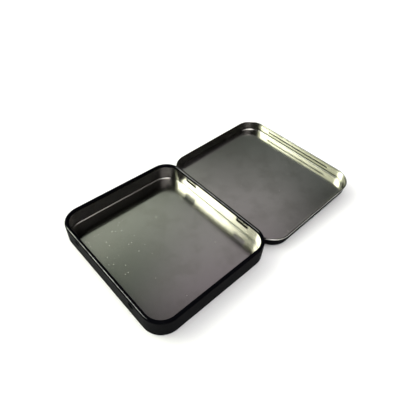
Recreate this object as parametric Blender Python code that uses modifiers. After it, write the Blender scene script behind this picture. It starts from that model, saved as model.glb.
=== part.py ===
"""Flat pocket tobacco tin with a hinged lid, drawn from tinplate and standing open.

Two stampings make the whole tin.  The base tray is a shallow drawn box with a
rounded bottom edge and its rim curled inwards.  The lid is a shallower box that
drops over the base, with its edge rolled outwards.  Two tongues lanced from the
back wall of the base are curled round the lid's rolled edge, which is the pin.

Metres, +Z up.  X runs along the hinge and the hinge side is at +Y.  The origin is
the middle of the base's underside.  The lid is drawn closed and then turned open.
"""

import math

import bmesh
import bpy
from mathutils import Matrix, Vector

MM = 0.001

# Base tray
TIN_WIDTH = 87.0 * MM
TIN_DEPTH = 77.6 * MM
TIN_HEIGHT = 12.2 * MM
CORNER_RADIUS = 11.2 * MM
SHEET = 0.24 * MM
BASE_EDGE_RADIUS = 0.9 * MM
RIM_CURL_DIAMETER = 2.1 * MM
RIM_CURL_SWEEP = 288.0

# Lid
LID_DEPTH = 6.3 * MM
LID_EDGE_RADIUS = 1.25 * MM
LID_CLEARANCE = 0.38 * MM
LID_SEAT_GAP = 0.1 * MM
LID_ROLL_DIAMETER = 0.9 * MM
LID_ROLL_SWEEP = 270.0

# Hinge
OPEN_ANGLE = 177.7
OPEN_GAP = 0.3 * MM
HINGE_SPACING = 43.4 * MM
TONGUE_WIDTH = 8.5 * MM
TONGUE_SHEET = 0.2 * MM
TONGUE_FOLD_RADIUS = 0.3 * MM
TONGUE_END_ANGLE = 112.0
PIN_PLAY = 0.2 * MM
TONGUE_CLEARANCE = 0.25 * MM
WINDOW_SIDE_GAP = 0.25 * MM
NOTCH_SIDE_GAP = 0.5 * MM
NOTCH_CLEARANCE = 0.35 * MM

# Snap closure at the front
SNAP_SPACING = 47.0 * MM
SNAP_HEIGHT = 8.8 * MM
DIMPLE_LENGTH = 3.4 * MM
DIMPLE_WIDTH = 1.3 * MM
DIMPLE_RISE = 0.28 * MM
BEAD_LENGTH = 51.2 * MM
BEAD_WIDTH = 1.3 * MM
BEAD_RISE = 0.36 * MM

# Smoothness of the round stretches
CORNER_STEPS = 9
EDGE_STEPS = 4
CURL_STEPS = 16
ROLL_STEPS = 12
TONGUE_STEPS = 12

# Side of a drawn surface that its thickness goes to
INNER_SIDE = -1.0
BOTH_SIDES = 0.0

# How far a cutter or a root reaches past the sheet that it goes through
CUT_MARGIN = 0.1 * MM
TONGUE_ROOT = 0.48 * MM

# Bend between two faces, in degrees, that still counts as round
SMOOTH_ANGLE = 40.0

# Places that follow from the sizes above
HALF_DEPTH = TIN_DEPTH / 2
CURL_RADIUS = RIM_CURL_DIAMETER / 2
ROLL_RADIUS = LID_ROLL_DIAMETER / 2
LID_TOP = TIN_HEIGHT + LID_SEAT_GAP + SHEET
LID_RIM = LID_TOP - LID_DEPTH
ROLL_HEIGHT = LID_RIM + ROLL_RADIUS
AXIS_Z = ROLL_HEIGHT - PIN_PLAY
AXIS_Y = HALF_DEPTH + (LID_CLEARANCE + LID_ROLL_DIAMETER + OPEN_GAP) / 2
TONGUE_RADIUS = ROLL_RADIUS + PIN_PLAY + TONGUE_CLEARANCE + TONGUE_SHEET / 2
WALL_MIDDLE = HALF_DEPTH - SHEET / 2


def clear_scene():
    """Removes whatever the scene holds."""
    for leftover in list(bpy.data.objects):
        bpy.data.objects.remove(leftover, do_unlink=True)


def add_collection(name, helpers=False):
    """A new collection in the scene; one of helpers is kept out of renders."""
    collection = bpy.data.collections.new(name)
    collection.hide_render = helpers
    bpy.context.scene.collection.children.link(collection)
    return collection


def metal_finish(name, color, roughness, metallic):
    """One finish of the sheet, as a Principled BSDF."""
    material = bpy.data.materials.new(name)
    material.use_nodes = True
    shader = material.node_tree.nodes["Principled BSDF"]
    shader.inputs["Base Color"].default_value = (*color, 1.0)
    shader.inputs["Roughness"].default_value = roughness
    shader.inputs["Metallic"].default_value = metallic
    return material


def arc(centre, radius, start, end, steps):
    """Points on an arc, angles in degrees, both ends included."""
    points = []
    for step in range(steps + 1):
        angle = math.radians(start + (end - start) * step / steps)
        points.append((centre[0] + radius * math.cos(angle), centre[1] + radius * math.sin(angle)))
    return points


def rounded_rectangle(width, depth, radius, steps):
    """Outline of a rounded rectangle round the origin, counter-clockwise."""
    corner_x = width / 2 - radius
    corner_y = depth / 2 - radius
    outline = []
    for quarter, (side_x, side_y) in enumerate(((1, 1), (-1, 1), (-1, -1), (1, -1))):
        start = 90 * quarter
        outline += arc((side_x * corner_x, side_y * corner_y), radius, start, start + 90, steps)
    return outline


def poly_curve(name, points, closed):
    """A flat polyline curve object through the given points."""
    data = bpy.data.curves.new(name, "CURVE")
    data.dimensions = "2D"
    spline = data.splines.new("POLY")
    spline.points.add(len(points) - 1)
    for point, (x, y) in zip(spline.points, points):
        point.co = (x, y, 0.0, 1.0)
    spline.use_cyclic_u = closed
    return bpy.data.objects.new(name, data)


def mesh_of_curve(curve, collection):
    """The mesh that a curve object makes, as a new object; the curve is removed."""
    collection.objects.link(curve)
    bpy.context.view_layer.update()
    evaluated = curve.evaluated_get(bpy.context.evaluated_depsgraph_get())
    mesh = bpy.data.meshes.new_from_object(evaluated)
    name = curve.name
    placement = curve.matrix_world.copy()
    bpy.data.objects.remove(curve, do_unlink=True)
    made = bpy.data.objects.new(name, mesh)
    made.matrix_world = placement
    collection.objects.link(made)
    return made


def drawn_sheet(name, outline, section, panel_height, collection):
    """An open drawn box: its section swept round the outline, with the flat panel filled in.

    A swept section's X points inwards, so the outward measures are turned round.
    The panel faces down, and the sheet's thickness goes to the other side.
    """
    path = poly_curve(name, outline, closed=True)
    inwards = [(-outward, height) for outward, height in section]
    profile = poly_curve(name + "_section", inwards, closed=False)
    collection.objects.link(profile)
    path.data.fill_mode = "NONE"
    path.data.bevel_mode = "OBJECT"
    path.data.bevel_object = profile
    sheet = mesh_of_curve(path, collection)
    bpy.data.objects.remove(profile, do_unlink=True)

    shape = bmesh.new()
    shape.from_mesh(sheet.data)
    bmesh.ops.remove_doubles(shape, verts=shape.verts, dist=SHEET / 100)
    level = SHEET / 10
    rim = [
        edge
        for edge in shape.edges
        if edge.is_boundary and all(abs(end.co.z - panel_height) < level for end in edge.verts)
    ]
    panel = bmesh.ops.contextual_create(shape, geom=rim)["faces"][0]
    bmesh.ops.recalc_face_normals(shape, faces=shape.faces)
    if panel.normal.z > 0:
        bmesh.ops.reverse_faces(shape, faces=shape.faces)
    shape.to_mesh(sheet.data)
    shape.free()
    return sheet


def thicken(sheet, thickness, offset, finishes):
    """Gives the sheet its thickness, with one finish on each side."""
    for finish in finishes:
        sheet.data.materials.append(finish)
    solidify = sheet.modifiers.new("sheet_thickness", "SOLIDIFY")
    solidify.thickness = thickness
    solidify.offset = offset
    solidify.use_even_offset = True
    solidify.material_offset = len(finishes) - 1
    solidify.material_offset_rim = 0


def box(name, low, high, collection):
    """An upright box between two corners."""
    low, high = Vector(low), Vector(high)
    shape = bmesh.new()
    size = Matrix.Diagonal((*(high - low), 1.0))
    bmesh.ops.create_cube(shape, size=1.0, matrix=Matrix.Translation((low + high) / 2) @ size)
    return helper_object(name, shape, collection)


def capsule(name, centre, length, width, depth, collection):
    """A flattened capsule along X, for pressing a bead or a dimple into a wall."""
    shape = bmesh.new()
    turn = Matrix.Rotation(math.pi / 2, 4, "Y")
    bmesh.ops.create_uvsphere(shape, u_segments=16, v_segments=7, radius=1.0, matrix=turn)
    half_straight = (length - width) / 2
    for vertex in shape.verts:
        end = math.copysign(half_straight, vertex.co.x)
        vertex.co.x = end + vertex.co.x * width / 2
        vertex.co.y *= depth
        vertex.co.z *= width / 2
    bmesh.ops.translate(shape, verts=shape.verts, vec=centre)
    return helper_object(name, shape, collection)


def helper_object(name, shape, collection):
    """Turns a bmesh into a wire-drawn helper that renders leave out."""
    mesh = bpy.data.meshes.new(name)
    bmesh.ops.recalc_face_normals(shape, faces=shape.faces)
    shape.to_mesh(mesh)
    shape.free()
    helper = bpy.data.objects.new(name, mesh)
    collection.objects.link(helper)
    as_helper(helper)
    return helper


def as_helper(helper):
    """Draws a helper as wires and keeps it out of renders."""
    helper.hide_render = True
    helper.display_type = "WIRE"


def combine(target, other, operation):
    """Cuts the other mesh from the target, or joins it on."""
    step = target.modifiers.new(f"{operation.lower()}_{other.name}", "BOOLEAN")
    step.operation = operation
    step.solver = "EXACT"
    step.object = other


def shade(piece):
    """Smooth shading with the sheet's cut edges kept sharp."""
    piece.data.shade_smooth()
    piece.data.set_sharp_from_angle(angle=math.radians(SMOOTH_ANGLE))


def base_section():
    """Outer face of the base from its flat underside to the end of the rim's curl.

    X is measured outwards from the tin's outermost line, Y is height.
    """
    bottom = arc((-BASE_EDGE_RADIUS, BASE_EDGE_RADIUS), BASE_EDGE_RADIUS, -90, 0, EDGE_STEPS)
    curl_centre = (-CURL_RADIUS, TIN_HEIGHT - CURL_RADIUS)
    curl = arc(curl_centre, CURL_RADIUS, 0, RIM_CURL_SWEEP, CURL_STEPS)
    return bottom + curl


def lid_section():
    """Inner face of the closed lid from its flat panel to the end of the rolled edge.

    X is measured outwards from the base's outermost line, Y is height.
    """
    inner_radius = LID_EDGE_RADIUS - SHEET
    inside_top = LID_TOP - SHEET
    fillet_centre = (LID_CLEARANCE - inner_radius, inside_top - inner_radius)
    fillet = arc(fillet_centre, inner_radius, 90, 0, EDGE_STEPS)
    roll_centre = (LID_CLEARANCE + ROLL_RADIUS, ROLL_HEIGHT)
    roll = arc(roll_centre, ROLL_RADIUS, 180, 180 + LID_ROLL_SWEEP, ROLL_STEPS)
    return fillet + roll


def tongue_line():
    """Middle line of a hinge tongue, from inside the wall below its window to its tip.

    X is Y of the tin measured from the hinge axis, Y is height above the axis.
    """
    wall = WALL_MIDDLE - AXIS_Y
    fold_centre = (wall + TONGUE_FOLD_RADIUS, -TONGUE_RADIUS - TONGUE_FOLD_RADIUS)
    fold = arc(fold_centre, TONGUE_FOLD_RADIUS, 180, 90, EDGE_STEPS)
    root = (wall, fold_centre[1] - TONGUE_ROOT)
    loop = arc((0, 0), TONGUE_RADIUS, -90, TONGUE_END_ANGLE, TONGUE_STEPS)
    return [root] + fold + loop


def tongue_length():
    """Length of the flat tongue before it was curled: the height of the window it leaves."""
    points = [Vector(point) for point in tongue_line()[1:]]
    return sum((end - start).length for start, end in zip(points, points[1:]))


def window_bottom():
    """Height at which the tongue folds out of the wall."""
    return AXIS_Z - TONGUE_RADIUS - TONGUE_FOLD_RADIUS


def hinge_tongue(name, middle_x, collection):
    """One curled tongue, as a ribbon along X with the sheet's thickness."""
    ribbon = poly_curve(name, tongue_line(), closed=False)
    ribbon.data.extrude = TONGUE_WIDTH / 2
    ribbon.rotation_euler = (math.pi / 2, 0, math.pi / 2)
    ribbon.location = (middle_x, AXIS_Y, AXIS_Z)
    tongue = mesh_of_curve(ribbon, collection)
    thicken(tongue, TONGUE_SHEET, BOTH_SIDES, [])
    as_helper(tongue)
    return tongue


def build_base(tin, cutters, lacquer, tinplate):
    """The base tray with its windows, tongues and snap dimples."""
    outline = rounded_rectangle(TIN_WIDTH, TIN_DEPTH, CORNER_RADIUS, CORNER_STEPS)
    base = drawn_sheet("base_tray", outline, base_section(), 0.0, tin)
    thicken(base, SHEET, INNER_SIDE, [lacquer, tinplate])
    half_window = TONGUE_WIDTH / 2 + WINDOW_SIDE_GAP
    top = window_bottom() + tongue_length()
    for side, label in ((-1, "left"), (1, "right")):
        middle_x = side * HINGE_SPACING / 2
        low = (middle_x - half_window, HALF_DEPTH - SHEET - CUT_MARGIN, window_bottom())
        high = (middle_x + half_window, HALF_DEPTH + CUT_MARGIN, top)
        combine(base, box(f"{label}_window", low, high, cutters), "DIFFERENCE")
        combine(base, hinge_tongue(f"{label}_tongue", middle_x, cutters), "UNION")
        dimple_x = side * SNAP_SPACING / 2
        outer = (dimple_x, -HALF_DEPTH, SNAP_HEIGHT)
        inner = (dimple_x, -HALF_DEPTH + SHEET, SNAP_HEIGHT)
        bump = capsule(f"{label}_dimple", outer, DIMPLE_LENGTH, DIMPLE_WIDTH, DIMPLE_RISE, cutters)
        hollow = capsule(
            f"{label}_dimple_hollow",
            inner,
            DIMPLE_LENGTH - SHEET,
            DIMPLE_WIDTH - SHEET,
            DIMPLE_RISE,
            cutters,
        )
        combine(base, bump, "UNION")
        combine(base, hollow, "DIFFERENCE")
    shade(base)
    return base


def build_lid(tin, cutters, lacquer, tinplate, hinge):
    """The closed lid with its hinge notches and snap bead, hung on the hinge."""
    outline = rounded_rectangle(TIN_WIDTH, TIN_DEPTH, CORNER_RADIUS, CORNER_STEPS)
    lid = drawn_sheet("lid", outline, lid_section(), LID_TOP - SHEET, tin)
    thicken(lid, SHEET, INNER_SIDE, [tinplate, lacquer])
    pieces = [lid]
    half_notch = TONGUE_WIDTH / 2 + NOTCH_SIDE_GAP
    notch_low = ROLL_HEIGHT + ROLL_RADIUS - TONGUE_CLEARANCE / 2
    notch_high = AXIS_Z + TONGUE_RADIUS + TONGUE_SHEET / 2 + NOTCH_CLEARANCE
    skirt_inside = HALF_DEPTH + LID_CLEARANCE
    for side, label in ((-1, "left"), (1, "right")):
        middle_x = side * HINGE_SPACING / 2
        low = (middle_x - half_notch, skirt_inside - CUT_MARGIN, notch_low)
        high = (middle_x + half_notch, skirt_inside + SHEET + CUT_MARGIN, notch_high)
        notch = box(f"{label}_notch", low, high, cutters)
        combine(lid, notch, "DIFFERENCE")
        pieces.append(notch)
    inner_face = (0, -skirt_inside, SNAP_HEIGHT)
    outer_face = (0, -skirt_inside - SHEET, SNAP_HEIGHT)
    ridge = capsule("bead", outer_face, BEAD_LENGTH, BEAD_WIDTH, BEAD_RISE, cutters)
    groove = capsule(
        "bead_groove", inner_face, BEAD_LENGTH - SHEET, BEAD_WIDTH - SHEET, BEAD_RISE, cutters
    )
    combine(lid, ridge, "UNION")
    combine(lid, groove, "DIFFERENCE")
    pieces += [ridge, groove]
    for piece in pieces:
        piece.parent = hinge
        piece.location = -Vector((0, AXIS_Y, AXIS_Z))
    shade(lid)
    return lid


def build_tin():
    """Builds both stampings and opens the lid."""
    clear_scene()
    tin = add_collection("tobacco_tin")
    cutters = add_collection("cutters", helpers=True)
    lacquer = metal_finish("black_lacquer", (0.012, 0.012, 0.016), 0.22, 0.0)
    tinplate = metal_finish("bare_tinplate", (0.62, 0.62, 0.58), 0.18, 1.0)
    hinge = bpy.data.objects.new("hinge_axis", None)
    tin.objects.link(hinge)
    hinge.location = (0, AXIS_Y, AXIS_Z)
    build_base(tin, cutters, lacquer, tinplate)
    build_lid(tin, cutters, lacquer, tinplate, hinge)
    hinge.rotation_euler.x = -math.radians(OPEN_ANGLE)


build_tin()
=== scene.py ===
"""Looks of a flat pocket tobacco tin: two tinplate stampings, standing open.

The base tray and the lid are made again as fine meshes, each one sheet of metal with
black lacquer on its outside and bare tin on its inside, and stand for the CAD nodes.
Metres, +Z up.  X runs along the hinge, and the hinge side of the base tray is at +Y.
"""

import logging
import math
from collections.abc import Callable, Iterable
from dataclasses import dataclass, field
from enum import Enum, IntEnum

import bmesh
import bpy
from mathutils import Matrix, Vector


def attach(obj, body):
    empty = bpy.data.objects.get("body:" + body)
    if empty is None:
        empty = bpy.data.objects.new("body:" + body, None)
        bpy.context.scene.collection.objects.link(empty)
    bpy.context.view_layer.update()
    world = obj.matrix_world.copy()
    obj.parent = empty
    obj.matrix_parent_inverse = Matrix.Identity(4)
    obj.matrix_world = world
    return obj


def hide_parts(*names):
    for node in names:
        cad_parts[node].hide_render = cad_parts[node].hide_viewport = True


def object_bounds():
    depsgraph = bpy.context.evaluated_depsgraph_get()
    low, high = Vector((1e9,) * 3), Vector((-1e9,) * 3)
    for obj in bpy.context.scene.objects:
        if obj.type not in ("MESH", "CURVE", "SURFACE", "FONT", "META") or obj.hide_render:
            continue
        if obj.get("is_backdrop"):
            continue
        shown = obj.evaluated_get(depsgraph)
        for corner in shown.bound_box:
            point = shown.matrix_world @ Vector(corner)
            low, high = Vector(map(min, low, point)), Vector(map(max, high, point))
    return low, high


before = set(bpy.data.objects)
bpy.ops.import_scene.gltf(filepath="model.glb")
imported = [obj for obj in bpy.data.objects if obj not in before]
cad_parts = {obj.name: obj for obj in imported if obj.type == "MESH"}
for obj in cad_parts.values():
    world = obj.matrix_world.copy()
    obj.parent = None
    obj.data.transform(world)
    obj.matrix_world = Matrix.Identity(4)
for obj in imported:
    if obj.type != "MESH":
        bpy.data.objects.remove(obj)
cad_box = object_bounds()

log = logging.getLogger("tobacco_tin")

MM = 0.001

# Sockets of Blender's Mix node, which has other ones for two numbers than for two colours
MIX_FACTOR = 0
NUMBER_A, NUMBER_B, NUMBER_MIXED = 2, 3, 0
COLOR_A, COLOR_B, COLOR_MIXED = 6, 7, 2

# A shader counts the turn of its anisotropy in whole turns
QUARTER_TURN = 0.25

# UV map that holds each point's place on the flat blank, in metres
BLANK_MAP = "blank"

# A direction with at least this much of itself along an axis belongs to a straight side
STRAIGHT = 0.999

Tree = bpy.types.NodeTree
Node = bpy.types.Node
Socket = bpy.types.NodeSocket
Inputs = dict[str | int, object]
Surface = bmesh.types.BMesh
Vertex = bmesh.types.BMVert

# A point of a section, a place on the tin's outline with its outward direction, a ring of
# the sheet's grid, and the place of each of its points on the flat blank
Point = tuple[float, float]
Station = tuple[Vector, Vector]
Row = list[Vertex]
Blank = dict[Vertex, Vector]


def linear(hex_color: str) -> tuple[float, float, float, float]:
    """Turns an sRGB hex colour to the linear colour that shaders take.

    Args:
        hex_color: The colour as "#rrggbb".

    Returns:
        Red, green, blue and a full alpha.
    """
    digits = hex_color.lstrip("#")
    channels = [int(digits[start:start + 2], 16) / 255 for start in (0, 2, 4)]
    red, green, blue = [
        value / 12.92 if value <= 0.04045 else ((value + 0.055) / 1.055) ** 2.4
        for value in channels
    ]
    return red, green, blue, 1.0


def feed(tree: Tree, node: Node, inputs: Inputs) -> None:
    """Sets inputs of a node.

    Args:
        tree: The node's tree.
        node: The node.
        inputs: Value of each input, or the socket that is linked to it.
    """
    for name, value in inputs.items():
        if isinstance(value, Socket):
            tree.links.new(value, node.inputs[name])
        else:
            node.inputs[name].default_value = value


def add_node(tree: Tree, kind: str, inputs: Inputs | None = None, **settings: object) -> Node:
    """Adds a node with its settings, its values and its links.

    Args:
        tree: The node tree that gets the node.
        kind: The node's type, without the ShaderNode in front.
        inputs: Value of each input, or the socket that is linked to it.
        settings: The node's own properties.

    Returns:
        The new node.
    """
    node = tree.nodes.new("ShaderNode" + kind)
    for name, value in settings.items():
        setattr(node, name, value)
    feed(tree, node, inputs or {})
    return node


def per_metre(size: float) -> float:
    """Scale of a texture whose pattern repeats about once in that many metres."""
    return 1.0 / size


def arc(centre: Point, radius: float, start: float, end: float, steps: int) -> list[Point]:
    """Points on an arc.

    Args:
        centre: The arc's centre.
        radius: Its radius.
        start: Angle of the first point, in degrees.
        end: Angle of the last point, in degrees.
        steps: Number of stretches that it is divided into.

    Returns:
        The points, both ends included.
    """
    points = []
    for step in range(steps + 1):
        angle = math.radians(start + (end - start) * step / steps)
        points.append((centre[0] + radius * math.cos(angle), centre[1] + radius * math.sin(angle)))
    return points


def marks(low: float, high: float, spacing: float, extra: Iterable[float] = ()) -> list[float]:
    """Even marks from low to high, with extra ones put among them.

    An even mark within a twentieth of the spacing of an extra one gives way to it.

    Args:
        low: First mark.
        high: Last mark.
        spacing: Widest distance between two marks.
        extra: More marks, of which those outside the range are left out.

    Returns:
        The marks in rising order.
    """
    count = max(1, math.ceil((high - low) / spacing))
    even = [low + (high - low) * step / count for step in range(count + 1)]
    wanted = [value for value in extra if low < value < high]
    near = spacing / 20
    kept = [value for value in even if all(abs(value - other) > near for other in wanted)]
    return sorted(kept + wanted)


class Side(Enum):
    """The two faces of a lacquered sheet."""

    LACQUERED = "lacquered"
    BARE = "bare"


class Face(IntEnum):
    """What a face of a stamping can be, as its place in the mesh's list of materials.

    The thickened sheet has BACK behind DRAWN, and FOLD behind CUT.
    """

    DRAWN = 0
    BACK = 1
    CUT = 2
    FOLD = 3


@dataclass(frozen=True)
class Finish:
    """A finish: one material, whose shader each kind of finish dresses in its own way."""

    name: str = "finish"

    def make(self) -> bpy.types.Material:
        """Builds the material.

        Returns:
            The finished material.
        """
        material = bpy.data.materials.new(self.name)
        material.use_nodes = True
        tree = material.node_tree
        place = add_node(tree, "TexCoord").outputs["Object"]
        feed(tree, tree.nodes["Principled BSDF"], self.dress(tree, place))
        return material

    def dress(self, tree: Tree, place: Socket) -> Inputs:
        """Adds the nodes of this finish, and gives what the shader takes from them."""
        raise NotImplementedError


@dataclass(frozen=True)
class BareTin(Finish):
    """Electrolytic tinplate, cold rolled and flow-brightened, left bare.

    The eye sees a soft grey mirror: nearby walls show in it sharply, further ones blur.
    The roll leaves fine lines along the sheet, handling leaves faint smears that dull it,
    and a little dust lies on it, most of it towards the front left of the tray.  Lines and
    specks are drawn coarser than real ones, so that they show.  The edge and the core of a
    speck are radii, as shares of the dust's spacing.
    """

    name: str = "tinplate_rolled_and_flow_brightened"
    tin: str = "#d3d1cb"
    smeared_tin: str = "#cbc9c2"
    roughness: float = 0.17
    smeared_roughness: float = 0.19
    smear: float = 14 * MM
    smear_start: float = 0.42
    smear_full: float = 0.68
    anisotropy: float = 0.85
    rolling_line: float = 0.35 * MM
    rolling_run: float = 30 * MM
    rolling_depth: float = 0.00006 * MM
    waviness: float = 9 * MM
    waviness_depth: float = 0.006 * MM
    dust: str = "#e9e7df"
    dust_dulling: float = 0.35
    dust_spacing: float = 1.5 * MM
    speck_edge: float = 0.18
    speck_core: float = 0.07
    dust_share: float = 0.01
    gathered_share: float = 0.45
    gathered_place: tuple[float, float, float] = (-14 * MM, -26 * MM, 0.0)
    gathered_reach: float = 26 * MM

    def dress(self, tree: Tree, place: Socket) -> Inputs:
        """Adds the tin's smears, dust, relief and rolling lines.

        Args:
            tree: The material's node tree.
            place: The place on the object.

        Returns:
            What the shader's inputs take.
        """
        smeared = self.smeared(tree, place)
        dusty = self.dusty(tree, place)
        tin = add_node(
            tree,
            "Mix",
            {MIX_FACTOR: smeared, COLOR_A: linear(self.tin), COLOR_B: linear(self.smeared_tin)},
            data_type="RGBA",
        ).outputs[COLOR_MIXED]
        color = add_node(
            tree,
            "Mix",
            {MIX_FACTOR: dusty, COLOR_A: tin, COLOR_B: linear(self.dust)},
            data_type="RGBA",
        ).outputs[COLOR_MIXED]
        polish = add_node(
            tree,
            "MapRange",
            {"Value": smeared, "To Min": self.roughness, "To Max": self.smeared_roughness},
        ).outputs["Result"]
        dulled = add_node(
            tree, "Math", {0: dusty, 1: self.dust_dulling, 2: polish}, operation="MULTIPLY_ADD"
        ).outputs[0]
        # The rolling lines follow the blank's own X, and spread reflections across it
        tangent = add_node(tree, "Tangent", direction_type="UV_MAP", uv_map=BLANK_MAP).outputs[0]
        return {
            "Metallic": 1.0,
            "Base Color": color,
            "Roughness": dulled,
            "Normal": self.relief(tree, place),
            "Tangent": tangent,
            "Anisotropic": self.anisotropy,
            "Anisotropic Rotation": QUARTER_TURN,
        }

    def smeared(self, tree: Tree, place: Socket) -> Socket:
        """Adds the smears that handling has left.

        Args:
            tree: The material's node tree.
            place: The place on the object.

        Returns:
            How smeared the tin is there, from 0 to 1.
        """
        smears = add_node(
            tree,
            "TexNoise",
            {"Vector": place, "Scale": per_metre(self.smear), "Detail": 5.0, "Roughness": 0.55},
        ).outputs["Fac"]
        return add_node(
            tree,
            "MapRange",
            {"Value": smears, "From Min": self.smear_start, "From Max": self.smear_full},
            interpolation_type="SMOOTHSTEP",
        ).outputs["Result"]

    def dusty(self, tree: Tree, place: Socket) -> Socket:
        """Adds dust: a speck in some cells of an uneven grid, in more where it has gathered.

        Args:
            tree: The material's node tree.
            place: The place on the object.

        Returns:
            How much dust covers the tin there, from 0 to 1.
        """
        away = add_node(
            tree, "VectorMath", {0: place, 1: self.gathered_place}, operation="DISTANCE"
        ).outputs["Value"]
        share = add_node(
            tree,
            "MapRange",
            {
                "Value": away,
                "From Max": self.gathered_reach,
                "To Min": self.gathered_share,
                "To Max": self.dust_share,
            },
        ).outputs["Result"]
        cells = add_node(
            tree, "TexVoronoi", {"Vector": place, "Scale": per_metre(self.dust_spacing)}
        ).outputs
        speck = add_node(
            tree,
            "MapRange",
            {"Value": cells["Distance"], "From Min": self.speck_edge, "From Max": self.speck_core},
        ).outputs["Result"]
        draw = add_node(tree, "SeparateColor", {"Color": cells["Color"]}).outputs[0]
        chosen = add_node(tree, "Math", {0: draw, 1: share}, operation="LESS_THAN").outputs[0]
        return add_node(tree, "Math", {0: speck, 1: chosen}, operation="MULTIPLY").outputs[0]

    def relief(self, tree: Tree, place: Socket) -> Socket:
        """Adds the sheet's slight waviness and the rolling lines on it.

        Args:
            tree: The material's node tree.
            place: The place on the object.

        Returns:
            The direction of the surface there.
        """
        blank = add_node(tree, "UVMap", uv_map=BLANK_MAP).outputs["UV"]
        stretch = (self.rolling_line / self.rolling_run, 1.0, 1.0)
        along = add_node(tree, "Mapping", {"Vector": blank, "Scale": stretch}).outputs[0]
        lines = add_node(
            tree,
            "TexNoise",
            {"Vector": along, "Scale": per_metre(self.rolling_line), "Detail": 3.0},
        ).outputs["Fac"]
        waves = add_node(
            tree, "TexNoise", {"Vector": place, "Scale": per_metre(self.waviness), "Detail": 1.0}
        ).outputs["Fac"]
        wavy = add_node(
            tree, "Bump", {"Height": waves, "Distance": self.waviness_depth}
        ).outputs["Normal"]
        return add_node(
            tree, "Bump", {"Height": lines, "Distance": self.rolling_depth, "Normal": wavy}
        ).outputs["Normal"]


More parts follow.
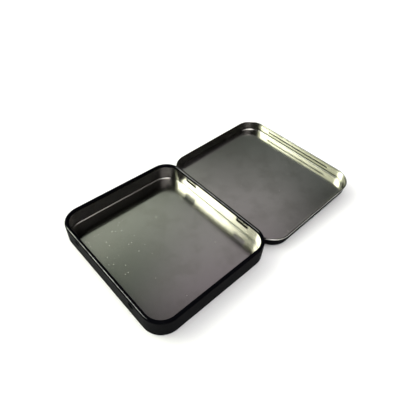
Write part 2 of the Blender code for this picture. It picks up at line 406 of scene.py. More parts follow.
@dataclass(frozen=True)
class BlackLacquer(Finish):
    """Black stoving lacquer, rolled on the flat sheet before it is drawn.

    The eye sees a satin black with a faint orange peel and fine rub marks, and a thin bright
    line of bare tin along the shoulder of the tray's rim, laid where the curl faces the soft
    box's highlight: a painted highlight as well as wear where the lid rubs it.
    Round the two dimples of the snap the shine fades out, a painted shade that darkens the dimples.

    Each start and full is a level of the rub marks' noise.  The rim shows bare tin, as wear and
    painted highlight, where it faces within some degrees of the highlight's facing; the
    highlight's edge and middle are the cosines.
    """

    name: str = "stoving_lacquer_black_rolled_on"
    black: str = "#040407"
    rubbed: str = "#0b0b0f"
    ior: float = 1.5
    gloss: float = 0.02
    roughness: float = 0.58
    rubbed_roughness: float = 0.66
    rub: float = 3.5 * MM
    rub_start: float = 0.5
    rub_full: float = 0.72
    peel: float = 0.9 * MM
    peel_depth: float = 0.0012 * MM
    # Bare tin on the rim's shoulder where the curl faces the soft box's highlight: wear and a
    # painted highlight
    bare_tin: str = "#cacbce"
    bare_roughness: float = 0.24
    bare_share: float = 0.5
    bare_start: float = 0.3
    bare_full: float = 0.55
    rim_foot: float = 11.2 * MM
    highlight_facing: tuple[float, float, float] = (0.0, -0.5, 0.866)
    highlight_edge: float = 0.988
    highlight_middle: float = 0.997
    # Round the snap's dimples the shine fades out: painted shade of the dimples
    snap_place: tuple[float, float, float] = (23.5 * MM, -38.9 * MM, 8.8 * MM)
    snap_reach: float = 2.6 * MM

    def dress(self, tree: Tree, place: Socket) -> Inputs:
        """Adds the lacquer's rub marks and orange peel, and bare tin on the rim as wear and painted
        highlight.

        Args:
            tree: The material's node tree.
            place: The place on the object.

        Returns:
            What the shader's inputs take.
        """
        rubs = add_node(
            tree,
            "TexNoise",
            {"Vector": place, "Scale": per_metre(self.rub), "Detail": 6.0, "Roughness": 0.7},
        ).outputs["Fac"]
        marked = add_node(
            tree,
            "MapRange",
            {"Value": rubs, "From Min": self.rub_start, "From Max": self.rub_full},
            interpolation_type="SMOOTHSTEP",
        ).outputs["Result"]
        # Bare tin on the rim's shoulder: wear, and a painted highlight where the curl faces the
        # soft box
        wear_and_highlight = self.wear_and_highlight(tree, place, rubs)
        bare = add_node(
            tree, "Math", {0: wear_and_highlight, 1: self.bare_share}, operation="MULTIPLY"
        ).outputs[0]
        lacquer = add_node(
            tree,
            "Mix",
            {MIX_FACTOR: marked, COLOR_A: linear(self.black), COLOR_B: linear(self.rubbed)},
            data_type="RGBA",
        ).outputs[COLOR_MIXED]
        color = add_node(
            tree,
            "Mix",
            {MIX_FACTOR: bare, COLOR_A: lacquer, COLOR_B: linear(self.bare_tin)},
            data_type="RGBA",
        ).outputs[COLOR_MIXED]
        satin = add_node(
            tree,
            "MapRange",
            {"Value": marked, "To Min": self.roughness, "To Max": self.rubbed_roughness},
        ).outputs["Result"]
        polish = add_node(
            tree, "Mix", {MIX_FACTOR: wear_and_highlight, NUMBER_A: satin, NUMBER_B: self.bare_roughness}
        ).outputs[NUMBER_MIXED]
        peel = add_node(
            tree, "TexNoise", {"Vector": place, "Scale": per_metre(self.peel), "Detail": 2.0}
        ).outputs["Fac"]
        bump = add_node(tree, "Bump", {"Height": peel, "Distance": self.peel_depth}).outputs[0]
        return {
            "Metallic": bare,
            "Base Color": color,
            "Roughness": polish,
            "Normal": bump,
            "IOR": self.ior,
            "Specular IOR Level": self.shine(tree, place),
        }

    def shine(self, tree: Tree, place: Socket) -> Socket:
        """Adds the lacquer's shine, which fades out round both dimples of the snap as a painted
        shade.

        Args:
            tree: The material's node tree.
            place: The place on the object.

        Returns:
            The level of the shine there.
        """
        parts = add_node(tree, "SeparateXYZ", {"Vector": place}).outputs
        beside = add_node(tree, "Math", {0: parts["X"]}, operation="ABSOLUTE").outputs[0]
        folded = add_node(
            tree, "CombineXYZ", {"X": beside, "Y": parts["Y"], "Z": parts["Z"]}
        ).outputs[0]
        from_snap = add_node(
            tree, "VectorMath", {0: folded, 1: self.snap_place}, operation="DISTANCE"
        ).outputs["Value"]
        # No shine round the dimples, a painted shade that darkens them
        return add_node(
            tree,
            "MapRange",
            {
                "Value": from_snap,
                "From Min": self.snap_reach / 2,
                "From Max": self.snap_reach,
                "To Min": 0.0,
                "To Max": self.gloss,
            },
        ).outputs["Result"]

    def wear_and_highlight(self, tree: Tree, place: Socket, rubs: Socket) -> Socket:
        """Adds the bare tin of the rim's shoulder, as wear and painted highlight.

        The lid swings down on the rim from behind, so it rubs the front and back stretches
        of the curl where they face up and forwards.  That facing mirrors the soft box to the
        camera, so the bare tin there is also a painted highlight of the soft box.

        Args:
            tree: The material's node tree.
            place: The place on the object.
            rubs: The noise of the rub marks.

        Returns:
            How far bare tin shows there, as wear and painted highlight, from 0 to 1.
        """
        facing = add_node(tree, "TexCoord").outputs["Normal"]
        # The facing that mirrors the soft box to the camera picks where the painted highlight lies
        turned = add_node(
            tree, "VectorMath", {0: facing, 1: self.highlight_facing}, operation="DOT_PRODUCT"
        ).outputs["Value"]
        shoulder = add_node(
            tree,
            "MapRange",
            {"Value": turned, "From Min": self.highlight_edge, "From Max": self.highlight_middle},
            interpolation_type="SMOOTHSTEP",
        ).outputs["Result"]
        height = add_node(tree, "SeparateXYZ", {"Vector": place}).outputs["Z"]
        on_rim = add_node(
            tree, "Math", {0: height, 1: self.rim_foot}, operation="GREATER_THAN"
        ).outputs[0]
        # The shoulder on the rim only, where the bare tin is a painted highlight as well as wear
        rubbed = add_node(tree, "Math", {0: shoulder, 1: on_rim}, operation="MULTIPLY").outputs[0]
        patchy = add_node(
            tree,
            "MapRange",
            {"Value": rubs, "From Min": self.bare_start, "From Max": self.bare_full},
        ).outputs["Result"]
        return add_node(tree, "Math", {0: rubbed, 1: patchy}, operation="MULTIPLY").outputs[0]


@dataclass(frozen=True)
class ShearedEdge(Finish):
    """Steel core of the tinplate where the die has sheared it.

    The eye sees a thin dull grey line with fine marks across it.
    """

    name: str = "steel_sheared_edge"
    steel: str = "#8d8c88"
    dark_steel: str = "#5d5b58"
    roughness: float = 0.42
    tear: float = 0.12 * MM
    tear_depth: float = 0.01 * MM

    def dress(self, tree: Tree, place: Socket) -> Inputs:
        """Adds the torn grain of sheared steel.

        Args:
            tree: The material's node tree.
            place: The place on the object.

        Returns:
            What the shader's inputs take.
        """
        tears = add_node(
            tree, "TexNoise", {"Vector": place, "Scale": per_metre(self.tear), "Detail": 4.0}
        ).outputs["Fac"]
        color = add_node(
            tree,
            "Mix",
            {MIX_FACTOR: tears, COLOR_A: linear(self.dark_steel), COLOR_B: linear(self.steel)},
            data_type="RGBA",
        ).outputs[COLOR_MIXED]
        bump = add_node(tree, "Bump", {"Height": tears, "Distance": self.tear_depth}).outputs[0]
        return {"Metallic": 1.0, "Base Color": color, "Roughness": self.roughness, "Normal": bump}


@dataclass(frozen=True)
class PaintedFoldShade(Finish):
    """Painted shade on the inside of a hinge tongue's fold, dull dark brown with a lighter speckle.

    The eye sees a dull dark line along the bottom of the hinge window.
    """

    name: str = "painted_fold_shade"
    # Painted shade along the fold: a dark colour, speckled with the lighter one below
    fold_shade: str = "#0d0b09"
    dust: str = "#2a251f"
    roughness: float = 0.85
    gloss: float = 0.1
    grain: float = 0.25 * MM

    def dress(self, tree: Tree, place: Socket) -> Inputs:
        """Adds the dull speckle of the painted shade.

        Args:
            tree: The material's node tree.
            place: The place on the object.

        Returns:
            What the shader's inputs take.
        """
        grains = add_node(
            tree, "TexNoise", {"Vector": place, "Scale": per_metre(self.grain), "Detail": 3.0}
        ).outputs["Fac"]
        color = add_node(
            tree,
            "Mix",
            {MIX_FACTOR: grains, COLOR_A: linear(self.fold_shade), COLOR_B: linear(self.dust)},
            data_type="RGBA",
        ).outputs[COLOR_MIXED]
        return {"Base Color": color, "Roughness": self.roughness, "Specular IOR Level": self.gloss}


@dataclass(frozen=True)
class Finishes:
    """The finishes that both stampings share."""

    tin: bpy.types.Material
    lacquer: bpy.types.Material
    edge: bpy.types.Material
    fold_shade: bpy.types.Material


@dataclass(frozen=True)
class Pressing:
    """A bead or dimple pressed outwards into a wall, its middle at a height and place along X."""

    middle: float
    height: float
    length: float
    width: float
    rise: float
    steps_along: int = 10
    steps_up: int = 12

    def at(self, along: float, height: float) -> float:
        """How far the sheet stands out at a place on the wall.

        Args:
            along: Place along X.
            height: Height on the wall.

        Returns:
            The distance outwards.
        """
        half_straight = (self.length - self.width) / 2
        past_end = max(0.0, abs(along - self.middle) - half_straight)
        share = math.hypot(past_end, height - self.height) / (self.width / 2)
        return self.rise * (1 + math.cos(math.pi * share)) / 2 if share < 1 else 0.0

    def marks_along(self) -> list[float]:
        """Finds where the mesh needs lines for the round ends.

        Returns:
            The places along X.
        """
        ends = []
        for side in (-1, 1):
            tip = self.middle + side * self.length / 2
            root = tip - side * self.width
            ends += marks(min(tip, root), max(tip, root), self.width / self.steps_along)
        return ends

    def marks_up(self) -> list[float]:
        """Heights where the mesh needs a line for the round section."""
        low, high = self.height - self.width / 2, self.height + self.width / 2
        return marks(low, high, self.width / self.steps_up)


@dataclass
class Stamping:
    """One drawn stamping: a flat panel, an upright wall and a curled edge, all one sheet.

    The sheet is a grid.  Stations go round the tin counter-clockwise, and rows go from the
    middle of the panel outwards and along the wall to the end of the curled edge.  The
    rolling lines of the blank run along X, turned by roll_turn degrees.  The hinge's axis
    lies along X at axis_y and axis_z.
    """

    piece: str
    node: str
    body: str
    slot: str
    width: float = 87.0 * MM
    depth: float = 77.6 * MM
    corner_radius: float = 11.2 * MM
    sheet: float = 0.24 * MM
    hinge_spacing: float = 43.4 * MM
    axis_y: float = 39.59 * MM
    axis_z: float = 6.49 * MM
    opening_width: float = 0.0
    opening_top: float = 0.0
    corner_steps: int = 22
    edge_steps: int = 7
    panel_rings: int = 18
    straight_spacing: float = 3.2 * MM
    sharp_angle: float = 38.0
    panel_rise: float = 0.05 * MM
    panel_ripple: float = 0.25
    ripple_slant: float = 0.6
    ripples_across: float = 2.3
    roll_turn: float = 0.0
    drawn_side: Side = Side.LACQUERED
    pressings: list[Pressing] = field(default_factory=list)
    hinge_marks: list[float] = field(default_factory=list)

    @property
    def opening_bottom(self) -> float:
        """Height at which the hinge's openings in the back wall begin."""
        raise NotImplementedError

    def hinge_places(self) -> tuple[float, float]:
        """Middles of the two hinges along X."""
        return -self.hinge_spacing / 2, self.hinge_spacing / 2

    def stations(self) -> list[Station]:
        """Finds the places round the tin that the grid follows.

        Returns:
            Points of the tin's outermost line, each with its outward direction.
        """
        corner_x = self.width / 2 - self.corner_radius
        corner_y = self.depth / 2 - self.corner_radius
        pressed = [place for pressing in self.pressings for place in pressing.marks_along()]
        hinges = [middle + offset for middle in self.hinge_places() for offset in self.hinge_marks]
        sides = (
            (Vector((1, 0)), corner_y, self.width / 2, []),
            (Vector((0, 1)), corner_x, self.depth / 2, [-place for place in hinges]),
            (Vector((-1, 0)), corner_y, self.width / 2, []),
            (Vector((0, -1)), corner_x, self.depth / 2, pressed),
        )
        found = []
        for out, half_run, reach, extra in sides:
            along = Vector((-out.y, out.x))
            for place in marks(-half_run, half_run, self.straight_spacing, extra):
                found.append((out * reach + along * place, out.copy()))
            centre = out * (reach - self.corner_radius) + along * half_run
            for step in range(1, self.corner_steps):
                turn = Matrix.Rotation(math.pi / 2 * step / self.corner_steps, 2)
                direction = turn @ out
                found.append((centre + direction * self.corner_radius, direction))
        return found

    def wall_line(self) -> list[Point]:
        """Section from the panel's edge to the end of the curled edge, as (outwards, height)."""
        raise NotImplementedError

    def panel_height(self, x: float, y: float, level: float) -> float:
        """Height of the panel, which bows and ripples a little, as thin sheet does.

        Args:
            x: Place along X.
            y: Place along Y.
            level: Height of the panel's edge.

        Returns:
            The height there.
        """
        across = math.cos(math.pi * x / self.width) * math.cos(math.pi * y / self.depth)
        ripple_length = self.width / self.ripples_across
        phase = 2 * math.pi * (x + self.ripple_slant * y) / ripple_length
        ripple = 1 + self.panel_ripple * math.sin(phase)
        return level + self.panel_rise * max(0.0, across) * ripple

    def build_surface(self) -> Surface:
        """Makes the drawn face of the sheet, with its windows or notches left open.

        Returns:
            The surface, which has the place of each point on the blank in a UV map.
        """
        shape = bmesh.new()
        blank = {}
        stations = self.stations()
        level = self.wall_line()[0][1]
        middle = shape.verts.new((0, 0, self.panel_height(0, 0, level)))
        blank[middle] = Vector((0, 0))
        rows = self.panel_rows(shape, blank, stations) + self.wall_rows(shape, blank, stations)
        count = len(stations)
        for index in range(count):
            shape.faces.new((middle, rows[0][(index + 1) % count], rows[0][index]))
        for inner, outer in zip(rows, rows[1:]):
            for index in range(count):
                following = (index + 1) % count
                corners = (inner[index], inner[following], outer[following], outer[index])
                if not self.is_open(corners):
                    shape.faces.new(corners)
        self.add_tongues(shape, blank, rows, stations)
        flat_map = shape.loops.layers.uv.new(BLANK_MAP)
        turn = Matrix.Rotation(-math.radians(self.roll_turn), 2)
        for face in shape.faces:
            for loop in face.loops:
                loop[flat_map].uv = turn @ blank[loop.vert]
        loose = [vertex for vertex in shape.verts if not vertex.link_faces]
        bmesh.ops.delete(shape, geom=loose, context="VERTS")
        return shape

    def panel_rows(self, shape: Surface, blank: Blank, stations: list[Station]) -> list[Row]:
        """Adds the points of the flat panel, from its middle outwards.

        Args:
            shape: The surface that gets them.
            blank: Place of each point on the flat blank, which is filled in.
            stations: The places round the tin that the grid follows.

        Returns:
            The rows of points, without the middle one and the panel's edge.
        """
        edge_out, level = self.wall_line()[0]
        rows = []
        for ring in range(1, self.panel_rings):
            share = ring / self.panel_rings
            row = []
            for point, out in stations:
                flat = (point + out * edge_out) * share
                row.append(shape.verts.new((*flat, self.panel_height(*flat, level))))
                blank[row[-1]] = flat
            rows.append(row)
        return rows

    def wall_rows(self, shape: Surface, blank: Blank, stations: list[Station]) -> list[Row]:
        """Adds the points from the panel's edge along the wall to the end of the curled edge.

        Args:
            shape: The surface that gets them.
            blank: Place of each point on the flat blank, which is filled in.
            stations: The places round the tin that the grid follows.

        Returns:
            The rows of points.
        """
        line = self.wall_line()
        previous = line[0]
        edge_out = previous[0]
        run = 0.0
        rows = []
        for outwards, height in line:
            run += math.dist(previous, (outwards, height))
            previous = (outwards, height)
            row = []
            for point, out in stations:
                pressed = 0.0
                if out.y < -STRAIGHT:
                    pressed = sum(pressing.at(point.x, height) for pressing in self.pressings)
                flat = point + out * (outwards + pressed)
                row.append(shape.verts.new((*flat, height)))
                blank[row[-1]] = point + out * (edge_out + run)
            rows.append(row)
        return rows

    def is_open(self, corners: tuple[Vertex, ...]) -> bool:
        """Whether a face of the grid lies in a window or a notch of the back wall.

        Args:
            corners: The face's corners.

        Returns:
            True where the face is left out.
        """
        middle = sum((corner.co for corner in corners), Vector()) / len(corners)
        beside = min(abs(middle.x - place) for place in self.hinge_places())
        behind = middle.y > self.depth / 2 - self.sheet
        within = self.opening_bottom < middle.z < self.opening_top
        return behind and within and beside < self.opening_width / 2

    def add_tongues(
        self, shape: Surface, blank: Blank, rows: list[Row], stations: list[Station]
    ) -> None:
        """Adds what grows out of the wall, if anything does."""

    def placement(self) -> Matrix:
        """Where the stamping stands at rest."""
        return Matrix.Identity(4)

    def build(self, finishes: Finishes) -> bpy.types.Object:
        """Makes the stamping, gives it its thickness and finishes, and sets it in the frame.

        Args:
            finishes: The finishes of the sheet.

        Returns:
            The finished piece.
        """
        shape = self.build_surface()
        mesh = bpy.data.meshes.new(self.piece)
        shape.to_mesh(mesh)
        shape.free()
        drawn = bpy.data.objects.new(self.piece, mesh)
        bpy.context.scene.collection.objects.link(drawn)
        self.dress(mesh, finishes)
        thickness = drawn.modifiers.new("sheet", "SOLIDIFY")
        thickness.thickness = self.sheet
        thickness.offset = -1.0
        thickness.use_even_offset = True
        thickness.material_offset = Face.BACK - Face.DRAWN
        thickness.material_offset_rim = Face.CUT - Face.DRAWN
        bpy.context.view_layer.update()
        evaluated = drawn.evaluated_get(bpy.context.evaluated_depsgraph_get())
        solid = bpy.data.meshes.new_from_object(evaluated)
        drawn.modifiers.clear()
        drawn.data = solid
        bpy.data.meshes.remove(mesh)
        solid.name = self.piece
        solid.transform(self.placement())
        solid.shade_smooth()
        solid.set_sharp_from_angle(angle=math.radians(self.sharp_angle))
        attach(drawn, self.body)
        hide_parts(self.node)
        log.info("%s: %d faces", self.piece, len(solid.polygons))
        return drawn

    def dress(self, mesh: bpy.types.Mesh, finishes: Finishes) -> None:
        """Gives the mesh the finishes of its faces, in the order of Face.

        Args:
            mesh: The stamping's mesh.
            finishes: The finishes of the sheet.
        """
        sides = [finishes.lacquer, finishes.tin]
        if self.drawn_side is Side.BARE:
            sides.reverse()
        for material in (*sides, finishes.edge, finishes.fold_shade):
            mesh.materials.append(material)


@dataclass
class BaseTray(Stamping):
    """The base: a tray with its rim curled inwards, two hinge windows and two tongues."""

    piece: str = "tray_stamping"
    node: str = "base_tray"
    body: str = "base"
    slot: str = "tray_sheet"
    height: float = 12.2 * MM
    bottom_radius: float = 0.9 * MM
    curl_diameter: float = 2.1 * MM
    curl_sweep: float = 288.0
    curl_steps: int = 32
    opening_width: float = 9.0 * MM
    opening_top: float = 9.78 * MM
    tongue_width: float = 8.5 * MM
    tongue_radius: float = 1.1 * MM
    tongue_fold: float = 0.2 * MM
    tongue_end: float = 112.0
    tongue_steps: int = 20
    snap_spacing: float = 47.0 * MM
    snap_height: float = 8.8 * MM
    dimple_length: float = 3.4 * MM
    dimple_width: float = 1.3 * MM
    dimple_rise: float = 0.27 * MM
    wall_spacing: float = 0.6 * MM

    def __post_init__(self) -> None:
        """Sets the dimples of the snap and the lines that the hinges need."""
        self.pressings = [
            Pressing(
                side * self.snap_spacing / 2,
                self.snap_height,
                self.dimple_length,
                self.dimple_width,
                self.dimple_rise,
            )
            for side in (-1, 1)
        ]
        window, tongue = self.opening_width / 2, self.tongue_width / 2
        self.hinge_marks = [-window, -tongue, tongue, window]

    @property
    def opening_bottom(self) -> float:
        """Height at which the tongue folds out of the wall."""
        return self.axis_z - self.tongue_radius - self.tongue_fold

    def wall_line(self) -> list[Point]:
        """Draws the section of the outer face.

        Returns:
            Points of the bottom edge, the wall and the inward curl, as (outwards, height).
        """
        radius = self.bottom_radius
        curl = self.curl_diameter / 2
        bottom = arc((-radius, radius), radius, -90, 0, self.edge_steps)
        top = arc((-curl, self.height - curl), curl, 0, self.curl_sweep, self.curl_steps)
        needed = [self.opening_bottom, self.opening_top] + self.pressings[0].marks_up()
        heights = marks(radius, self.height - curl, self.wall_spacing, needed)
        return bottom[:-1] + [(0.0, height) for height in heights] + top[1:]

    def tongue_line(self) -> list[Point]:
        """Draws the section of a tongue's outer face.

        Returns:
            Points from the window's bottom edge to the tongue's tip, as (y, height).
        """
        wall = self.depth / 2
        fold_centre = (wall + self.tongue_fold, self.opening_bottom)
        fold = arc(fold_centre, self.tongue_fold, 180, 90, self.edge_steps)
        centre = (self.axis_y, self.axis_z)
        loop = arc(centre, self.tongue_radius, -90, self.tongue_end, self.tongue_steps)
        return fold[1:] + loop

    def add_tongues(
        self, shape: Surface, blank: Blank, rows: list[Row], stations: list[Station]
    ) -> None:
        """Folds the two tongues out of the windows' bottom edges and curls them round.

        Args:
            shape: The drawn surface.
            blank: Place of each point on the flat blank.
            rows: Its grid of points.
            stations: The places round the tin that the grid follows.
        """
        near = self.sheet / 10
        root = next(row for row in rows if abs(row[0].co.z - self.opening_bottom) < near)
        for middle in self.hinge_places():
            reach = self.tongue_width / 2 + near
            strip = [
                vertex
                for vertex, (point, out) in zip(root, stations)
                if out.y > STRAIGHT and abs(point.x - middle) < reach
            ]
            for step, (y, height) in enumerate(self.tongue_line()):
                curled = [shape.verts.new((vertex.co.x, y, height)) for vertex in strip]
                length = (curled[0].co - strip[0].co).length
                for old, new in zip(strip, curled):
                    blank[new] = blank[old] + Vector((0, length))
                for index in range(len(strip) - 1):
                    face = shape.faces.new(
                        (strip[index], strip[index + 1], curled[index + 1], curled[index])
                    )
                    # The die scrapes the outer side of the fold, and its inside gets painted shade,
                    # a dark line along the fold
                    in_fold = step <= self.edge_steps
                    face.material_index = Face.CUT if in_fold else Face.DRAWN
                strip = curled


@dataclass
class Lid(Stamping):
    """The lid: a shallower tray with its edge rolled outwards, drawn shut and turned open.

    The rolling lines of its blank run from the hinge to the front.
    """

    piece: str = "lid_stamping"
    node: str = "lid"
    body: str = "lid"
    slot: str = "lid_sheet"
    drawn_side: Side = Side.BARE
    roll_turn: float = 90.0
    top: float = 12.54 * MM
    skirt_depth: float = 6.3 * MM
    top_radius: float = 1.25 * MM
    clearance: float = 0.38 * MM
    roll_diameter: float = 0.9 * MM
    roll_sweep: float = 270.0
    roll_steps: int = 24
    open_angle: float = 177.7
    opening_width: float = 9.5 * MM
    opening_top: float = 7.94 * MM
    bead_height: float = 8.8 * MM
    bead_length: float = 51.2 * MM
    bead_width: float = 1.3 * MM
    bead_rise: float = 0.26 * MM
    wall_spacing: float = 0.5 * MM

    def __post_init__(self) -> None:
        """Sets the bead of the snap, the lines that the notches need and the panel's bow.

        The base bows upwards and the lid downwards, so both bow into the shut tin.
        """
        self.pressings = [
            Pressing(0.0, self.bead_height, self.bead_length, self.bead_width, self.bead_rise)
        ]
        self.hinge_marks = [-self.opening_width / 2, self.opening_width / 2]
        self.panel_rise = -self.panel_rise

    @property
    def roll_height(self) -> float:
        """Height of the middle of the rolled edge when the lid is shut."""
        return self.top - self.skirt_depth + self.roll_diameter / 2

    @property
    def opening_bottom(self) -> float:
        """Height of the rolled edge's top, where the notches begin."""
        return self.roll_height + self.roll_diameter / 2

    def wall_line(self) -> list[Point]:
        """Draws the section of the inner face.

        Returns:
            Points of the top edge, the skirt and the outward roll, as (outwards, height).
        """
        inner = self.top_radius - self.sheet
        inside_top = self.top - self.sheet
        roll = self.roll_diameter / 2
        fillet_centre = (self.clearance - inner, inside_top - inner)
        fillet = arc(fillet_centre, inner, 90, 0, self.edge_steps)
        roll_centre = (self.clearance + roll, self.roll_height)
        rolled = arc(roll_centre, roll, 180, 180 + self.roll_sweep, self.roll_steps)
        needed = [self.opening_top, self.opening_bottom] + self.pressings[0].marks_up()
        heights = marks(self.roll_height, inside_top - inner, self.wall_spacing, needed)
        skirt = [(self.clearance, height) for height in reversed(heights)]
        return fillet[:-1] + skirt + rolled[1:]

    def placement(self) -> Matrix:
        """Finds where the lid lies when it is open.

        Returns:
            The turn about the hinge from shut to open.
        """
        axis = Vector((0, self.axis_y, self.axis_z))
        turn = Matrix.Rotation(-math.radians(self.open_angle), 4, "X")
        return Matrix.Translation(axis) @ turn @ Matrix.Translation(-axis)


def direction(azimuth: float, elevation: float) -> Vector:
    """Unit vector of a compass direction.

    Args:
        azimuth: Degrees clockwise from +Y, seen from above.
        elevation: Degrees above the floor.

    Returns:
        The vector that points there.
    """
    turn, rise = math.radians(azimuth), math.radians(elevation)
    return Vector(
        (math.sin(turn) * math.cos(rise), math.cos(turn) * math.cos(rise), math.sin(rise))
    )


def aim(lamp: bpy.types.Object, place: Vector) -> None:
    """Puts a lamp into the scene at a place, facing the tin.

    Args:
        lamp: The lamp.
        place: Where it hangs.
    """
    lamp.rotation_mode = "QUATERNION"
    lamp.rotation_quaternion = place.to_track_quat("Z", "Y")
    lamp.location = place
    bpy.context.scene.collection.objects.link(lamp)


@dataclass(frozen=True)
class Glow:
    """A soft-edged bright oblong of the room, such as a lamp's cloth or a pale ceiling.

    Its direction and its sizes are in degrees.  Its edge fades from one softness inside its
    half width and half height to one softness outside them.
    """

    azimuth: float
    elevation: float
    half_width: float
    half_height: float
    softness: float
    color: str
    strength: float

    def add(self, tree: Tree, ray: Socket) -> Socket:
        """Adds the glow's nodes.

        Args:
            tree: The world's node tree.
            ray: The direction that is looked in.

        Returns:
            The socket with the glow's light in that direction.
        """
        level = add_node(
            tree,
            "VectorRotate",
            {"Vector": ray, "Angle": math.radians(self.azimuth)},
            rotation_type="Z_AXIS",
        ).outputs[0]
        ahead = add_node(
            tree,
            "VectorRotate",
            {"Vector": level, "Angle": math.radians(-self.elevation)},
            rotation_type="X_AXIS",
        ).outputs[0]
        parts = add_node(tree, "SeparateXYZ", {"Vector": ahead}).outputs
        share = add_node(tree, "Math", {0: parts["Y"], 1: 0.0}, operation="GREATER_THAN").outputs[0]
        for side, half in (("X", self.half_width), ("Z", self.half_height)):
            angle = add_node(
                tree, "Math", {0: parts[side], 1: parts["Y"]}, operation="ARCTAN2"
            ).outputs[0]
            off = add_node(tree, "Math", {0: angle}, operation="ABSOLUTE").outputs[0]
            inside = add_node(
                tree,
                "MapRange",
                {
                    "Value": off,
                    "From Min": math.radians(half + self.softness),
                    "From Max": math.radians(half - self.softness),
                },
                interpolation_type="SMOOTHSTEP",
            ).outputs["Result"]
            share = add_node(tree, "Math", {0: share, 1: inside}, operation="MULTIPLY").outputs[0]
        light = add_node(
            tree, "Math", {0: share, 1: self.strength}, operation="MULTIPLY"
        ).outputs[0]
        return add_node(
            tree, "VectorMath", {0: linear(self.color)[:3], "Scale": light}, operation="SCALE"
        ).outputs["Vector"]


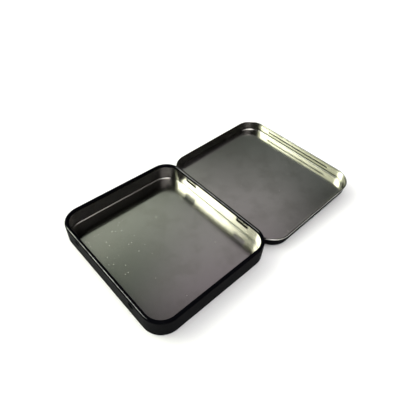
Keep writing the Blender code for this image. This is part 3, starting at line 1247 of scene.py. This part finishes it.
@dataclass(frozen=True)
class Studio:
    """A plain pale table in a dim room, with a soft box, a wide fill and soft glows.

    The soft box shines from the left.  The fill lights only matt surfaces, and the glows
    are what the bare tin mirrors.
    """

    table_color: str = "#f6f6f5"
    table_size: float = 6.0
    table_roughness: float = 0.7
    table_gloss: float = 0.1
    lamp_azimuth: float = -123.0
    lamp_elevation: float = 43.0
    lamp_distance: float = 0.9
    lamp_width: float = 0.5
    lamp_height: float = 0.46
    lamp_power: float = 3.6
    lamp_color: str = "#fbffee"
    fill_azimuth: float = -130.0
    fill_elevation: float = 76.0
    fill_spread: float = 110.0
    fill_strength: float = 2.6
    backdrop_color: str = "#ffffff"
    room_color: str = "#ffffff"
    room_strength: float = 0.004
    glows: tuple[Glow, ...] = (
        # Low at the left, shown by the back walls and by the floors at their foot
        Glow(-110.0, 45.0, 6.0, 10.0, 5.0, "#f6ffe0", 2.0),
        Glow(-128.0, 28.0, 12.0, 5.0, 5.0, "#d9ffa1", 3.5),
        Glow(-155.0, 37.0, 10.0, 7.0, 5.0, "#f8ffe0", 1.35),
        Glow(-92.0, 36.0, 8.0, 6.0, 6.0, "#faffe2", 1.4),
        # Faint and higher up ahead, shown by the floors themselves
        Glow(-64.0, 47.0, 9.0, 4.0, 6.0, "#f6fff0", 0.53),
        Glow(-60.0, 57.0, 9.0, 4.0, 6.0, "#dbffe0", 0.1),
        Glow(-48.0, 41.0, 9.0, 4.0, 6.0, "#e1ffdd", 0.08),
        Glow(-38.0, 49.0, 9.0, 4.0, 6.0, "#fffbfe", 0.47),
        Glow(-38.0, 59.0, 9.0, 4.0, 6.0, "#ffebfe", 0.34),
        Glow(-26.0, 40.0, 9.0, 4.0, 6.0, "#f5fff9", 0.2),
        # At the right, shown by the left walls and the round corners
        Glow(44.0, 68.0, 8.0, 5.0, 5.0, "#fff8fb", 2.0),
        Glow(90.0, 72.0, 8.0, 5.0, 5.0, "#ffffff", 6.5),
        Glow(112.0, 43.0, 14.0, 10.0, 8.0, "#fdf8ff", 0.23),
        Glow(134.0, 62.0, 8.0, 8.0, 6.0, "#fefbff", 5.5),
    )

    def build(self) -> None:
        """Sets up the table, the lamps and the room."""
        self.lay_table()
        self.hang_lamps()
        self.paint_room()
        log.info("studio: table, lamps and %d glows", len(self.glows))

    def lay_table(self) -> None:
        """Lays the pale table that the tin stands on."""
        shape = bmesh.new()
        bmesh.ops.create_grid(shape, x_segments=1, y_segments=1, size=self.table_size / 2)
        mesh = bpy.data.meshes.new("table")
        shape.to_mesh(mesh)
        shape.free()
        table = bpy.data.objects.new("table", mesh)
        bpy.context.scene.collection.objects.link(table)
        material = bpy.data.materials.new("table_matt_white_laminate")
        material.use_nodes = True
        dressed = {
            "Base Color": linear(self.table_color),
            "Roughness": self.table_roughness,
            "Specular IOR Level": self.table_gloss,
        }
        feed(material.node_tree, material.node_tree.nodes["Principled BSDF"], dressed)
        mesh.materials.append(material)
        table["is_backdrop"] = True

    def hang_lamps(self) -> None:
        """Hangs the soft box, and a wide fill above it that only matt surfaces show."""
        light = bpy.data.lights.new("soft_box", "AREA")
        light.shape = "RECTANGLE"
        light.size = self.lamp_width
        light.size_y = self.lamp_height
        light.energy = self.lamp_power
        light.color = linear(self.lamp_color)[:3]
        lamp = bpy.data.objects.new("soft_box", light)
        aim(lamp, direction(self.lamp_azimuth, self.lamp_elevation) * self.lamp_distance)

        light = bpy.data.lights.new("ceiling_fill", "SUN")
        light.energy = self.fill_strength
        light.angle = math.radians(self.fill_spread)
        fill = bpy.data.objects.new("ceiling_fill", light)
        fill.visible_glossy = False
        aim(fill, direction(self.fill_azimuth, self.fill_elevation) * self.lamp_distance)

    def paint_room(self) -> None:
        """Paints the room: dim all round, with its soft glows, behind a plain white backdrop."""
        world = bpy.data.worlds.new("studio_room")
        world.use_nodes = True
        bpy.context.scene.world = world
        tree = world.node_tree
        ray = add_node(tree, "TexCoord").outputs["Generated"]
        dim = [value * self.room_strength for value in linear(self.room_color)[:3]]
        total = add_node(tree, "CombineXYZ", dict(zip("XYZ", dim))).outputs[0]
        for glow in self.glows:
            total = add_node(
                tree, "VectorMath", {0: total, 1: glow.add(tree, ray)}, operation="ADD"
            ).outputs["Vector"]
        # The backdrop shows past the table's edge only, and lights nothing
        straight = add_node(tree, "LightPath").outputs["Is Camera Ray"]
        shown = add_node(
            tree,
            "Mix",
            {MIX_FACTOR: straight, COLOR_A: total, COLOR_B: linear(self.backdrop_color)},
            data_type="RGBA",
        ).outputs[COLOR_MIXED]
        feed(tree, tree.nodes["Background"], {"Color": shown})


@dataclass(frozen=True)
class PhotoCamera:
    """The camera where the photographer held it, tilted a little to one side.

    Angles are in degrees.  The focal length and the shift are shares of the frame's width.
    """

    place: tuple[float, float, float] = (100.051 * MM, -75.684 * MM, 161.282 * MM)
    azimuth: float = -43.647
    downwards: float = 47.061
    roll: float = 4.588
    focal_share: float = 0.91025
    middle_right: float = 0.00946
    middle_down: float = 0.02764
    sensor: float = 36.0
    nearest: float = 1 * MM

    def build(self) -> None:
        """Adds the camera and makes it the scene's own."""
        data = bpy.data.cameras.new("photo_camera")
        data.sensor_width = self.sensor
        data.lens = self.sensor * self.focal_share
        data.shift_x = -self.middle_right
        data.shift_y = self.middle_down
        data.clip_start = self.nearest
        camera = bpy.data.objects.new("photo_camera", data)
        looking = direction(self.azimuth, -self.downwards)
        level = looking.to_track_quat("-Z", "Y").to_matrix().to_4x4()
        tilt = Matrix.Rotation(math.radians(self.roll), 4, "Z")
        camera.matrix_world = Matrix.Translation(self.place) @ level @ tilt
        bpy.context.scene.collection.objects.link(camera)
        bpy.context.scene.camera = camera
        log.info("camera: %.1f mm lens", data.lens)


def write_sizes(low_high: Callable[[], tuple[Vector, Vector]]) -> None:
    """Gathers the CAD box and the finished model's box, and does not write them out.

    Args:
        low_high: Gives the lowest and highest corner of what shows now.
    """
    boxes = {
        "cad": [list(corner) for corner in cad_box],
        "visual": [list(corner) for corner in low_high()],
    }


def main() -> None:
    """Builds the camera, the tin and its surroundings in order."""
    logging.basicConfig(level=logging.INFO, format="%(name)s: %(message)s")
    bpy.context.scene.view_settings.view_transform = "Standard"
    PhotoCamera().build()
    finishes = Finishes(
        BareTin().make(), BlackLacquer().make(), ShearedEdge().make(), PaintedFoldShade().make()
    )
    for stamping in (BaseTray(), Lid()):
        stamping.build(finishes)
    Studio().build()
    write_sizes(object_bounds)


if __name__ == "__main__":
    main()
